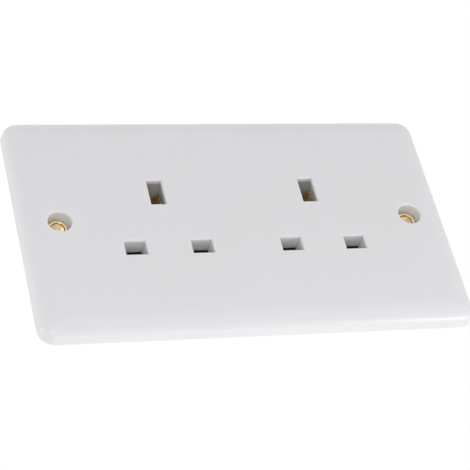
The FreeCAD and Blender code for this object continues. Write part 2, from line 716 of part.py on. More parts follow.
def make_eyelet(side, sign):
    """A brass eyelet: a bevelled crown in the recess, a tube and a flare behind the strap."""
    body = new_piece(f"fixing_eyelet_{side}", x=f"{sign}fixing_x")
    section = sketch_in(body, "eyelet_section", plane="XY")
    crown = "recess_floor - eyelet_crown_rise"
    flare_edge = "eyelet_tube + eyelet_flare_width"
    flare_rear = "strap_rear + eyelet_flare_thickness"
    add_outline(section, [
        ("eyelet_bore", f"{crown} + eyelet_crown_bevel"),
        ("eyelet_bore + eyelet_crown_bevel", crown),
        ("eyelet_crown_radius - eyelet_crown_bevel", crown),
        ("eyelet_crown_radius", "recess_floor"),
        ("eyelet_tube", "recess_floor"),
        ("eyelet_tube", "strap_rear"),
        (flare_edge, "strap_rear"),
        (flare_edge, flare_rear),
        ("eyelet_bore", flare_rear),
    ])
    spin(body, section)
    return body


def make_strap(side, sign):
    """A folded strap from an eyelet, through the housing's notch, to the foot on the earth bar."""
    body = new_piece(f"earth_strap_{side}")
    fold = sketch_in(body, "strap_fold", plane="XY")
    toe = "strap_leg_x - strap_foot"
    add_outline(fold, [(f"{sign}({across})", depth) for across, depth in (
        ("fixing_x", "boss_rear"),
        ("strap_inner_x", "boss_rear"),
        ("strap_inner_x", "strap_foot_front"),
        (toe, "strap_foot_front"),
        (toe, "bar_front"),
        ("strap_leg_x", "bar_front"),
        ("strap_leg_x", "strap_rear"),
        ("fixing_x", "strap_rear"),
    )])
    pad(body, fold, "strap_width", both_sides=True)
    inner = [(places.strap_leg_x, places.strap_rear), (places.strap_inner_x, places.strap_foot_front)]
    outer = [(places.strap_inner_x, places.boss_rear), (places.strap_leg_x, places.bar_front)]
    bend_sheet(body, inner, outer, "strap_bend", "strap_thickness")
    spot = (f"{sign}fixing_x", "0")
    square = around(*spot, "strap_pad_half", "strap_pad_half")
    raise_boxes(body, "eyelet_pad", [square], "boss_rear", "strap_rear")
    cut_rounds(body, "eyelet_hole", [spot], "eyelet_hole", "boss_rear", "strap_rear")
    return body


def make_brass():
    """The three bars and the six jaws that are welded to them."""
    strips = [(f"{NEUTRAL_X['left']} - half_tab", f"{NEUTRAL_X['right']} + half_tab",
               "neutral_bar_z - half_bar", "neutral_bar_z + half_bar")]
    strips += [(f"{x} - half_tab", f"{x} + half_tab", "-pin_offset - jaw_half_base", "neutral_bar_z")
               for x in NEUTRAL_X.values()]
    strips.append(("-outlet_x - half_tab", "-outlet_x + half_tab", "live_bar_z - half_tab", "neutral_bar_z"))
    make_bar("neutral_bar", strips, [TERMINALS["neutral_terminal"]])

    strips = [(f"{LIVE_X['left']} - half_tab", f"{LIVE_X['right']} + half_tab",
               "live_bar_z - half_bar", "live_bar_z + half_bar")]
    strips += [(f"{x} - half_tab", f"{x} + half_tab", "live_bar_z", "jaw_half_base - pin_offset")
               for x in LIVE_X.values()]
    make_bar("live_bar", strips, [TERMINALS["live_terminal"]])

    strips = [("-strap_leg_x", "strap_leg_x", "pin_offset - half_tab", "pin_offset + half_tab")]
    strips += [beside(sign, "strap_leg_x - bar_width", "strap_leg_x") + ("-strap_width / 2", "pin_offset")
               for sign in SIDES.values()]
    strips += [(f"{x} - half_tab", f"{x} + half_tab", "pin_offset", "earth_terminal_z + half_tab")
               for x in EARTH_TERMINALS.values()]
    make_bar("earth_bar", strips, [TERMINALS[name] for name in EARTH_TERMINALS])

    quarter_turn = (FreeCAD.Vector(0, 1, 0), 90)
    for side, centre in OUTLETS.items():
        for line, across in (("neutral", NEUTRAL_X[side]), ("live", LIVE_X[side])):
            make_jaw(f"{line}_contact_{side}", (across, "-pin_offset"), "line_jaw_width",
                     "line_jaw_height", turn=quarter_turn)
        make_jaw(f"earth_contact_{side}", (centre, "pin_offset"), "earth_jaw_width", "earth_jaw_height")


def make_fastenings():
    """Terminals with their screws, housing screws, eyelets and earth straps."""
    for name, spot in TERMINALS.items():
        make_terminal(name, spot)
        make_screw(name + "_screw", spot, "screw_seat", "terminal_screw_radius",
                   "screw_seat - wire_y - wire_bore", "terminal_screw_head_radius",
                   "terminal_screw_head_height")
    for index, spot in enumerate(SCREW_POSTS, start=1):
        make_screw(f"housing_screw_{index}", spot, "housing_rear", "housing_screw_radius",
                   "housing_screw_length", "housing_screw_head_radius", "housing_screw_head_height")
    for side, sign in SIDES.items():
        make_eyelet(side, sign)
        make_strap(side, sign)


def finish():
    """Check every object and every piece, then write one file for each piece."""
    doc.recompute()
    faults = [item.Name for item in doc.Objects if "Invalid" in item.State or "Error" in item.State]
    for body in pieces:
        shape = body.Shape
        if shape.isNull() or not shape.isValid() or len(shape.Solids) != 1:
            faults.append(body.Label)
    if faults:
        raise RuntimeError("failed: " + ", ".join(faults))
    os.makedirs("parts", exist_ok=True)
    for body in pieces:
        body.Shape.exportStep(f"parts/{body.Label}.step")
        print(body.Label, round(body.Shape.Volume, 1), len(body.Shape.Faces))


make_faceplate()
make_rear_housing()
for side, centre in OUTLETS.items():
    make_shutter(side, centre)
    make_spring(side, centre)
make_brass()
make_fastenings()
finish()
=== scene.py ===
"""Dress the twin wall socket: mouldings, brasswork, screws and springs, under soft studio light."""

import json
import logging
import math
from dataclasses import dataclass, field
from enum import Enum

import bmesh
import bpy
from mathutils import Matrix, Vector


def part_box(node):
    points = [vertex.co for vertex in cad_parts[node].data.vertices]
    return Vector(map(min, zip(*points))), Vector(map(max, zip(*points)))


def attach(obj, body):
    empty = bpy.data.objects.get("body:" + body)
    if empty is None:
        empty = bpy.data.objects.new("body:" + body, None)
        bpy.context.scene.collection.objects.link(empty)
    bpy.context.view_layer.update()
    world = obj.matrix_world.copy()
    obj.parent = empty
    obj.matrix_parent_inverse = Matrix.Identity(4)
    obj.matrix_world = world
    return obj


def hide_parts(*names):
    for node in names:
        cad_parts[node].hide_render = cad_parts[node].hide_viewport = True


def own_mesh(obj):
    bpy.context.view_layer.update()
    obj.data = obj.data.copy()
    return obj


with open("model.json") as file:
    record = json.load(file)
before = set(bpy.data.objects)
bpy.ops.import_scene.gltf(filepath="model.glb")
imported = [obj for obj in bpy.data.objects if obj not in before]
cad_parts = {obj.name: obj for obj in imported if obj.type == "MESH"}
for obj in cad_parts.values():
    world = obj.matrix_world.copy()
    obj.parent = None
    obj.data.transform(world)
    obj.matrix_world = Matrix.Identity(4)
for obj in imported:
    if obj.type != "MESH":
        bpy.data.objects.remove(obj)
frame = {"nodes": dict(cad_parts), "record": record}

LOG = logging.getLogger("twin_socket")
MM = 0.001
MERGE_REACH = 0.002 * MM
FLAT_TURN = math.radians(0.4)
Colour = tuple[float, float, float]
Place = tuple[float, float, float]


class Slot(Enum):
    """Material slots of the record."""

    GLOSS_WHITE = "gloss_white_moulding"
    SATIN_WHITE = "satin_white_moulding"
    BLACK = "black_moulding"
    SHEET_BRASS = "sheet_brass"
    TURNED_BRASS = "turned_brass"
    EYELET_BRASS = "eyelet_brass"
    PLATED_SCREW = "plated_screw"
    SPRING_WIRE = "spring_wire"


class Shader:
    """A material's node tree, with short ways to add and join its nodes."""

    def __init__(self, name: str) -> None:
        """Start an empty material that holds only a surface shader.

        Args:
            name: The material's name.
        """
        self.material = bpy.data.materials.new(name)
        self.material.use_nodes = True
        self.tree = self.material.node_tree
        self.tree.nodes.clear()
        self.surface = self.add("ShaderNodeBsdfPrincipled")
        output = self.add("ShaderNodeOutputMaterial")
        self.join(self.surface.outputs["BSDF"], output.inputs["Surface"])
        self.place = self.add("ShaderNodeTexCoord").outputs["Object"]

    def add(self, kind: str, **values: float) -> bpy.types.Node:
        """Add a node and set its sockets.

        Args:
            kind: The node's type name.
            values: Socket values by socket name, with underscores for spaces.

        Returns:
            The new node.
        """
        node = self.tree.nodes.new(kind)
        for name, value in values.items():
            node.inputs[name.replace("_", " ")].default_value = value
        return node

    def join(self, source: bpy.types.NodeSocket, target: bpy.types.NodeSocket) -> None:
        """Join an output to an input."""
        self.tree.links.new(source, target)

    def stretched(self, scale: Place) -> bpy.types.NodeSocket:
        """Object coordinates, scaled along each axis.

        Args:
            scale: The factor along X, Y and Z.

        Returns:
            The scaled vector.
        """
        mapping = self.add("ShaderNodeMapping", Scale=scale)
        self.join(self.place, mapping.inputs["Vector"])
        return mapping.outputs["Vector"]

    def noise(self, scale: float, detail: float = 2.0,
              place: bpy.types.NodeSocket | None = None) -> bpy.types.NodeSocket:
        """Smooth noise over the surface.

        Args:
            scale: How many features lie in one metre.
            detail: How many finer octaves are added.
            place: The coordinates to read, the object's own if none are given.

        Returns:
            The noise's value, from 0 to 1.
        """
        node = self.add("ShaderNodeTexNoise", Scale=scale, Detail=detail)
        self.join(place or self.place, node.inputs["Vector"])
        return node.outputs["Fac"]

    def between(self, value: bpy.types.NodeSocket, low: float, high: float,
                start: float = 0.3, end: float = 0.7) -> bpy.types.NodeSocket:
        """Map a value onto a range.

        Args:
            value: The value to map.
            low: The result at start and below.
            high: The result at end and above.
            start: Where the range begins.
            end: Where the range ends.

        Returns:
            The mapped value.
        """
        node = self.add("ShaderNodeMapRange", From_Min=start, From_Max=end, To_Min=low, To_Max=high)
        self.join(value, node.inputs["Value"])
        return node.outputs["Result"]

    def reckon(self, sum_kind: str, value: bpy.types.NodeSocket,
               other: bpy.types.NodeSocket | float = 0.0) -> bpy.types.NodeSocket:
        """Work out a number from one or two others.

        Args:
            sum_kind: The operation's name.
            value: The first number.
            other: The second number, where the operation has one.

        Returns:
            The result.
        """
        node = self.tree.nodes.new("ShaderNodeMath")
        node.operation = sum_kind
        self.join(value, node.inputs[0])
        if isinstance(other, float):
            node.inputs[1].default_value = other
        else:
            self.join(other, node.inputs[1])
        return node.outputs["Value"]

    def blend(self, value: bpy.types.NodeSocket, first: Colour, second: Colour) -> bpy.types.NodeSocket:
        """Blend two colours by a value.

        Args:
            value: 0 gives the first colour and 1 the second.
            first: The first colour.
            second: The second colour.

        Returns:
            The blended colour.
        """
        node = self.tree.nodes.new("ShaderNodeMix")
        node.data_type = "RGBA"
        node.inputs["A"].default_value = (*first, 1.0)
        node.inputs["B"].default_value = (*second, 1.0)
        self.join(value, node.inputs["Factor"])
        return node.outputs["Result"]

    def bump(self, height: bpy.types.NodeSocket, depth: float,
             under: bpy.types.NodeSocket | None = None) -> bpy.types.NodeSocket:
        """Give the surface fine relief.

        Args:
            height: The relief, from 0 to 1.
            depth: The relief's depth in metres.
            under: A relief below this one.

        Returns:
            The bent normal, which is also joined to the surface.
        """
        node = self.add("ShaderNodeBump", Distance=depth)
        self.join(height, node.inputs["Height"])
        if under:
            self.join(under, node.inputs["Normal"])
        self.join(node.outputs["Normal"], self.surface.inputs["Normal"])
        return node.outputs["Normal"]


@dataclass(frozen=True)
class Moulding:
    """Moulded plastic: a nearly even colour, with flow marks, an uneven gloss and a fine skin.

    A share of the light, sunk_light, goes into it and comes out again within sink_reach.
    """

    name: str
    colour: Colour
    mark: Colour
    gloss: tuple[float, float]
    skin_depth: float
    sunk_light: float = 0.0
    sink_reach: float = 1.2 * MM
    refraction: float = 1.5
    mark_scale: float = 28.0
    mark_range: tuple[float, float] = (0.35, 0.75)
    gloss_scale: float = 160.0
    skin_scale: float = 1800.0
    wave_scale: float = 90.0
    wave_to_skin: float = 6.0

    def material(self) -> bpy.types.Material:
        """Make the material.

        Returns:
            The material.
        """
        shader = Shader(self.name)
        marks = shader.between(shader.noise(self.mark_scale, detail=3.0), 0.0, 1.0, *self.mark_range)
        shader.join(shader.blend(marks, self.colour, self.mark), shader.surface.inputs["Base Color"])
        gloss = shader.between(shader.noise(self.gloss_scale, detail=4.0), *self.gloss)
        shader.join(gloss, shader.surface.inputs["Roughness"])
        skin = shader.bump(shader.noise(self.skin_scale, detail=3.0), self.skin_depth)
        waves = shader.noise(self.wave_scale, detail=1.0)
        shader.bump(waves, self.wave_to_skin * self.skin_depth, under=skin)
        shader.surface.inputs["IOR"].default_value = self.refraction
        shader.surface.inputs["Subsurface Weight"].default_value = self.sunk_light
        shader.surface.inputs["Subsurface Radius"].default_value = (1.0, 1.0, 1.0)
        shader.surface.inputs["Subsurface Scale"].default_value = self.sink_reach
        return shader.material


@dataclass(frozen=True)
class Metal:
    """Bare or plated metal: a grain along one axis, patches of tarnish and small pits."""

    name: str
    colour: Colour
    tarnish: Colour
    gloss: tuple[float, float]
    grain: Place
    grain_depth: float
    patch_scale: float = 420.0
    patch_range: tuple[float, float] = (0.45, 0.75)
    grain_scale: float = 900.0
    pit_scale: float = 2600.0

    def material(self) -> bpy.types.Material:
        """Make the material.

        Returns:
            The material.
        """
        shader = Shader(self.name)
        shader.surface.inputs["Metallic"].default_value = 1.0
        patches = shader.between(shader.noise(self.patch_scale, detail=5.0), 0.0, 1.0, *self.patch_range)
        shader.join(shader.blend(patches, self.colour, self.tarnish), shader.surface.inputs["Base Color"])
        grain = shader.noise(self.grain_scale, detail=4.0, place=shader.stretched(self.grain))
        shader.join(shader.between(grain, *self.gloss), shader.surface.inputs["Roughness"])
        lines = shader.bump(grain, self.grain_depth)
        shader.bump(shader.noise(self.pit_scale), self.grain_depth, under=lines)
        return shader.material


@dataclass(frozen=True)
class EyeletBrass:
    """Bright rolled brass with painted reflections: dark rings about the middle of each eyelet, on the
    crown's inner and outer slopes, stand in for the dark surroundings that the brass would mirror.
    """

    name: str
    across: float
    inner: float
    outer: float
    gloss: tuple[float, float]
    skin_depth: float
    painted_reflection_rings: tuple[tuple[float, Colour], ...]
    waver: float = 0.02
    waver_scale: float = 700.0
    gloss_scale: float = 1500.0
    skin_scale: float = 2200.0

    def material(self) -> bpy.types.Material:
        """Make the material.

        Returns:
            The material.
        """
        shader = Shader(self.name)
        shader.surface.inputs["Metallic"].default_value = 1.0
        split = shader.add("ShaderNodeSeparateXYZ")
        shader.join(shader.place, split.inputs["Vector"])
        side = shader.reckon("ABSOLUTE", split.outputs["X"])
        offset = shader.reckon("SUBTRACT", side, self.across)
        squares = shader.reckon("ADD", shader.reckon("POWER", offset, 2.0),
                                shader.reckon("POWER", split.outputs["Z"], 2.0))
        radius = shader.reckon("SQRT", squares)
        waver = shader.between(shader.noise(self.waver_scale, detail=3.0), -self.waver, self.waver)
        share = shader.reckon("ADD", shader.between(radius, 0.0, 1.0, self.inner, self.outer), waver)
        # Painted reflections: the ramp lays dark rings on the crown's slopes, where the brass would mirror
        # dark surroundings.
        ramp = shader.tree.nodes.new("ShaderNodeValToRGB")
        stops = ramp.color_ramp.elements
        while len(stops) < len(self.painted_reflection_rings):
            stops.new(0.5)
        for stop, (position, colour) in zip(stops, self.painted_reflection_rings):
            stop.position = position
            stop.color = (*colour, 1.0)
        shader.join(share, ramp.inputs["Fac"])
        shader.join(ramp.outputs["Color"], shader.surface.inputs["Base Color"])
        gloss = shader.between(shader.noise(self.gloss_scale, detail=3.0), *self.gloss)
        shader.join(gloss, shader.surface.inputs["Roughness"])
        shader.bump(shader.noise(self.skin_scale), self.skin_depth)
        return shader.material


FINISHES: dict[Slot, Moulding | Metal | EyeletBrass] = {
    Slot.GLOSS_WHITE: Moulding(
        "gloss_white", colour=(0.80, 0.794, 0.812), mark=(0.79, 0.784, 0.798),
        gloss=(0.16, 0.24), skin_depth=1.2e-6, sunk_light=0.5,
    ),
    Slot.SATIN_WHITE: Moulding(
        "satin_white", colour=(0.72, 0.71, 0.69), mark=(0.68, 0.66, 0.64),
        gloss=(0.38, 0.52), skin_depth=6e-6, sunk_light=0.5,
    ),
    Slot.BLACK: Moulding(
        "black", colour=(0.006, 0.006, 0.006), mark=(0.012, 0.012, 0.012),
        gloss=(0.5, 0.65), skin_depth=6e-6, refraction=1.3,
    ),
    Slot.SHEET_BRASS: Metal(
        "sheet_brass", colour=(1.0, 0.74, 0.38), tarnish=(0.72, 0.47, 0.20),
        gloss=(0.18, 0.34), grain=(1.0, 0.06, 1.0), grain_depth=5e-6,
    ),
    Slot.TURNED_BRASS: Metal(
        "turned_brass", colour=(0.80, 0.60, 0.28), tarnish=(0.60, 0.42, 0.18),
        gloss=(0.2, 0.36), grain=(1.0, 0.1, 1.0), grain_depth=6e-6,
    ),
    # The eyelets' dark stops, at 0.13 to 0.24 and at 0.90 to 0.95, are painted reflections of dark
    # surroundings on the crown's inner and outer slopes; the other stops are the brass's own colour.
    Slot.EYELET_BRASS: EyeletBrass(
        "eyelet_brass", across=60.3 * MM, inner=2.0 * MM, outer=3.6 * MM,
        gloss=(0.10, 0.2), skin_depth=2e-6,
        painted_reflection_rings=(
            (0.09, (1.0, 0.80, 0.50)), (0.13, (0.30, 0.21, 0.07)), (0.24, (0.36, 0.26, 0.09)),
            (0.34, (1.0, 0.86, 0.50)), (0.84, (1.0, 0.88, 0.54)), (0.90, (0.52, 0.40, 0.16)),
            (0.95, (0.24, 0.18, 0.07)),
        ),
    ),
    Slot.PLATED_SCREW: Metal(
        "plated_screw", colour=(0.66, 0.67, 0.69), tarnish=(0.52, 0.53, 0.53),
        gloss=(0.22, 0.42), grain=(1.0, 1.0, 1.0), grain_depth=6e-6,
    ),
    Slot.SPRING_WIRE: Metal(
        "spring_wire", colour=(0.58, 0.58, 0.59), tarnish=(0.42, 0.41, 0.40),
        gloss=(0.2, 0.34), grain=(1.0, 1.0, 0.2), grain_depth=4e-6,
    ),
}


@dataclass
class Wardrobe:
    """The finishes, each made once and put on whatever uses its slot."""

    made: dict[Slot, bpy.types.Material] = field(default_factory=dict)

    def dress(self, thing: bpy.types.Object, slot: Slot) -> None:
        """Give an object the finish of a slot.

        Args:
            thing: The object to dress.
            slot: The record's slot.
        """
        if slot not in self.made:
            self.made[slot] = FINISHES[slot].material()
        thing.data.materials.clear()
        thing.data.materials.append(self.made[slot])

    def dress_nodes(self) -> None:
        """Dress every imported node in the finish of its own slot."""
        for part in frame["record"]["subparts"]:
            node = frame["nodes"][part["node"]]
            slot = Slot(part["material_slot"])
            self.dress(node, slot)
            LOG.info("%s wears %s", node.name, slot.value)


def slot_of(node: str) -> Slot:
    """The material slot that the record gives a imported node."""
    return next(Slot(part["material_slot"]) for part in frame["record"]["subparts"] if part["node"] == node)


def everything(shape: bmesh.types.BMesh) -> list:
    """All corners, edges and faces of a mesh."""
    return shape.verts[:] + shape.edges[:] + shape.faces[:]


def only(kind: type, items: list) -> list:
    """Those of some corners, edges and faces that are of one kind."""
    return [item for item in items if isinstance(item, kind)]


def loose_copy(node: str) -> bmesh.types.BMesh:
    """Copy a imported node's mesh and join its triangles into whole faces.

    Args:
        node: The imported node.

    Returns:
        The joined mesh.
    """
    shape = bmesh.new()
    shape.from_mesh(frame["nodes"][node].data)
    bmesh.ops.remove_doubles(shape, verts=shape.verts, dist=MERGE_REACH)
    bmesh.ops.dissolve_limit(shape, angle_limit=FLAT_TURN, verts=shape.verts, edges=shape.edges)
    return shape


def ease(shape: bmesh.types.BMesh, edges: list[bmesh.types.BMEdge], reach: float, steps: int) -> None:
    """Round some edges.

    Args:
        shape: The mesh that they belong to.
        edges: The edges.
        reach: How far the rounding reaches from each edge.
        steps: How many faces make the rounding.
    """
    bmesh.ops.bevel(shape, geom=edges, offset=reach, offset_type="OFFSET", segments=steps, profile=0.5,
                    affect="EDGES", clamp_overlap=True, material=-1)


def sharper(shape: bmesh.types.BMesh, degrees: float) -> list[bmesh.types.BMEdge]:
    """The edges where two faces turn by more than some degrees."""
    turn = math.radians(degrees)
    return [edge for edge in shape.edges if edge.is_manifold and edge.calc_face_angle() > turn]


def body_of(node: str) -> str:
    """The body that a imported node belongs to."""
    bodies = frame["record"]["behaviour"]["bodies"]
    return next(body for body, nodes in bodies.items() if node in nodes)


@dataclass
class Assembly:
    """A group of pieces that are made the same way."""

    wardrobe: Wardrobe
    large_face_weight: int = 80

    def show(self, node: str, shape: bmesh.types.BMesh, crease: float = 40.0) -> bpy.types.Object:
        """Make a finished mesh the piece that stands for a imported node.

        Args:
            node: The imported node.
            shape: The finished mesh, which is used up.
            crease: Edges that turn by more than these degrees stay sharp.

        Returns:
            The new piece.
        """
        for face in shape.faces:
            face.smooth = True
        for edge in shape.edges:
            edge.smooth = True
        for edge in sharper(shape, crease):
            edge.smooth = False
        mesh = bpy.data.meshes.new(f"{node}_piece")
        shape.to_mesh(mesh)
        shape.free()
        piece = bpy.data.objects.new(f"{node}_piece", mesh)
        bpy.context.scene.collection.objects.link(piece)
        weighted = piece.modifiers.new("even_light", "WEIGHTED_NORMAL")
        weighted.keep_sharp = True
        weighted.weight = self.large_face_weight
        slot = slot_of(node)
        self.wardrobe.dress(piece, slot)
        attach(piece, body_of(node))
        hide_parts(node)
        LOG.info("%s: %d faces", piece.name, len(mesh.polygons))
        return piece


@dataclass
class EasedPieces(Assembly):
    """Mouldings and brasswork whose sharp edges are broken, as moulds, presses and tumbling leave them.

    Edges that turn by more than corner, in degrees, are rounded. The faceplate's face also rolls off
    towards its rim: by roll_drop over roll_reach, while its sides lean inwards. A roll_corner of 2 would
    make the roll run round a plain arc at each corner, and 3 fits it to the plate's tighter corners.
    """

    edge: dict[str, float] = field(default_factory=lambda: {
        "faceplate": 0.14 * MM, "rear_housing": 0.22 * MM,
        "shutter_left": 0.2 * MM, "shutter_right": 0.2 * MM,
        "bar": 0.1 * MM, "contact": 0.08 * MM, "terminal": 0.12 * MM, "strap": 0.08 * MM,
    })
    steps: int = 3
    corner: float = 24.0
    roll_reach: float = 8.0 * MM
    roll_drop: float = 1.95 * MM
    roll_cuts: int = 10
    roll_corner: float = 3.0
    cut_snap: float = 0.001 * MM
    lean_ends: float = 0.2 * MM
    lean_long_sides: float = 0.6 * MM

    def make(self) -> None:
        """Ease every node that has a rounding."""
        for node in frame["nodes"]:
            reach = self.reach_of(node)
            if reach:
                self.make_one(node, reach)

    def reach_of(self, node: str) -> float | None:
        """Look up how far a node's rounding reaches, by its whole name or by a word of it.

        Args:
            node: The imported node.

        Returns:
            The reach, or None for screws, springs and eyelets.
        """
        words = node.split("_")
        if "screw" in words:
            return None
        return next((self.edge[name] for name in (node, *words) if name in self.edge), None)

    def make_one(self, node: str, reach: float) -> None:
        """Ease one node.

        Args:
            node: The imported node.
            reach: How far the rounding reaches from each edge.
        """
        shape = loose_copy(node)
        ease(shape, sharper(shape, self.corner), reach, self.steps)
        if node == "faceplate":
            self.roll_rim(shape, *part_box(node))
        self.show(node, shape)

    def roll_rim(self, shape: bmesh.types.BMesh, low: Vector, high: Vector) -> None:
        """Let the face roll off towards the plate's rim, and lean the sides inwards.

        Args:
            shape: The faceplate's mesh.
            low: The low corner of its box.
            high: The high corner of its box.
        """
        self.cut_rim(shape, high)
        for vert in shape.verts:
            front = vert.co.y / low.y
            if front > 0.0:
                near_end = self.nearness(vert.co.x, high.x)
                near_long_side = self.nearness(vert.co.z, high.z)
                near_rim = near_end ** self.roll_corner + near_long_side ** self.roll_corner
                vert.co.y += front * near_rim ** (2.0 / self.roll_corner) * self.roll_drop
                vert.co.x -= math.copysign(front * near_end * self.lean_ends, vert.co.x)
                vert.co.z -= math.copysign(front * near_long_side * self.lean_long_sides, vert.co.z)

    def cut_rim(self, shape: bmesh.types.BMesh, high: Vector) -> None:
        """Cut the plate along its four sides, so that its face can bend there.

        Args:
            shape: The faceplate's mesh.
            high: The high corner of its box.
        """
        for cut in range(1, self.roll_cuts + 1):
            inset = self.roll_reach * cut / self.roll_cuts
            for facing, edge in ((Vector((1.0, 0.0, 0.0)), high.x), (Vector((0.0, 0.0, 1.0)), high.z)):
                for side in (-1.0, 1.0):
                    bmesh.ops.bisect_plane(shape, geom=everything(shape), dist=self.cut_snap,
                                           plane_co=side * (edge - inset) * facing, plane_no=facing)

    def nearness(self, place: float, edge: float) -> float:
        """How near a place is to the plate's edge: 0 where the roll starts and 1 at the edge."""
        return max(0.0, self.roll_reach - edge + abs(place)) / self.roll_reach


@dataclass
class Eyelets(Assembly):
    """The brass eyelets: a rolled crown in the recess, a tube and a rolled flare behind the strap."""

    bore: float = 2.1 * MM
    crown: float = 3.5 * MM
    crown_rise: float = 0.7 * MM
    tube: float = 2.5 * MM
    flare: float = 3.6 * MM
    flare_thickness: float = 0.4 * MM
    crown_rounding: tuple[float, float] = (0.72 * MM, 0.64 * MM)
    seat_rounding: float = 0.04 * MM
    flare_front_rounding: float = 0.05 * MM
    flare_rounding: tuple[float, float] = (0.35 * MM, 0.3 * MM)
    rounding_steps: int = 8
    steps: int = 72

    def make(self) -> None:
        """Make both eyelets."""
        for side in ("left", "right"):
            self.make_one(f"fixing_eyelet_{side}")

    def make_one(self, node: str) -> None:
        """Turn one eyelet from its section, whose corners are rounded first.

        Args:
            node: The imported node.
        """
        low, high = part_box(node)
        centre = (low + high) / 2
        seat = low.y + self.crown_rise
        flare_front = high.y - self.flare_thickness
        crown_inside, crown_outside = self.crown_rounding
        flare_inside, flare_outside = self.flare_rounding
        section = [
            (self.bore, low.y, crown_inside), (self.crown, low.y, crown_outside),
            (self.crown, seat, self.seat_rounding), (self.tube, seat, 0.0),
            (self.tube, flare_front, 0.0), (self.flare, flare_front, self.flare_front_rounding),
            (self.flare, high.y, flare_outside), (self.bore, high.y, flare_inside),
        ]
        shape = bmesh.new()
        corners = [shape.verts.new((centre.x + out, depth, 0.0)) for out, depth, _ in section]
        shape.faces.new(corners)
        for corner, (_, _, rounding) in zip(corners, section):
            if rounding:
                bmesh.ops.bevel(shape, geom=[corner], offset=rounding, offset_type="OFFSET",
                                segments=self.rounding_steps, profile=0.5, affect="VERTICES",
                                clamp_overlap=True, material=-1)
        bmesh.ops.delete(shape, geom=list(shape.faces), context="FACES_ONLY")
        bmesh.ops.spin(shape, geom=shape.verts[:] + shape.edges[:], cent=(centre.x, 0.0, 0.0),
                       axis=(0.0, 1.0, 0.0), angle=math.tau, steps=self.steps, use_merge=True)
        bmesh.ops.remove_doubles(shape, verts=shape.verts, dist=MERGE_REACH)
        bmesh.ops.recalc_face_normals(shape, faces=shape.faces)
        self.show(node, shape)


@dataclass(frozen=True)
class ScrewSize:
    """The sizes of one kind of screw."""

    major: float
    minor: float
    pitch: float
    taper: float
    head_height: float
    head_edge: float


class ScrewKind(Enum):
    """The two kinds of screw."""

    TERMINAL = ScrewSize(major=1.95 * MM, minor=1.6 * MM, pitch=0.7 * MM, taper=0.3 * MM,
                         head_height=2.0 * MM, head_edge=0.3 * MM)
    HOUSING = ScrewSize(major=1.45 * MM, minor=1.05 * MM, pitch=1.1 * MM, taper=1.6 * MM,
                        head_height=1.5 * MM, head_edge=0.55 * MM)


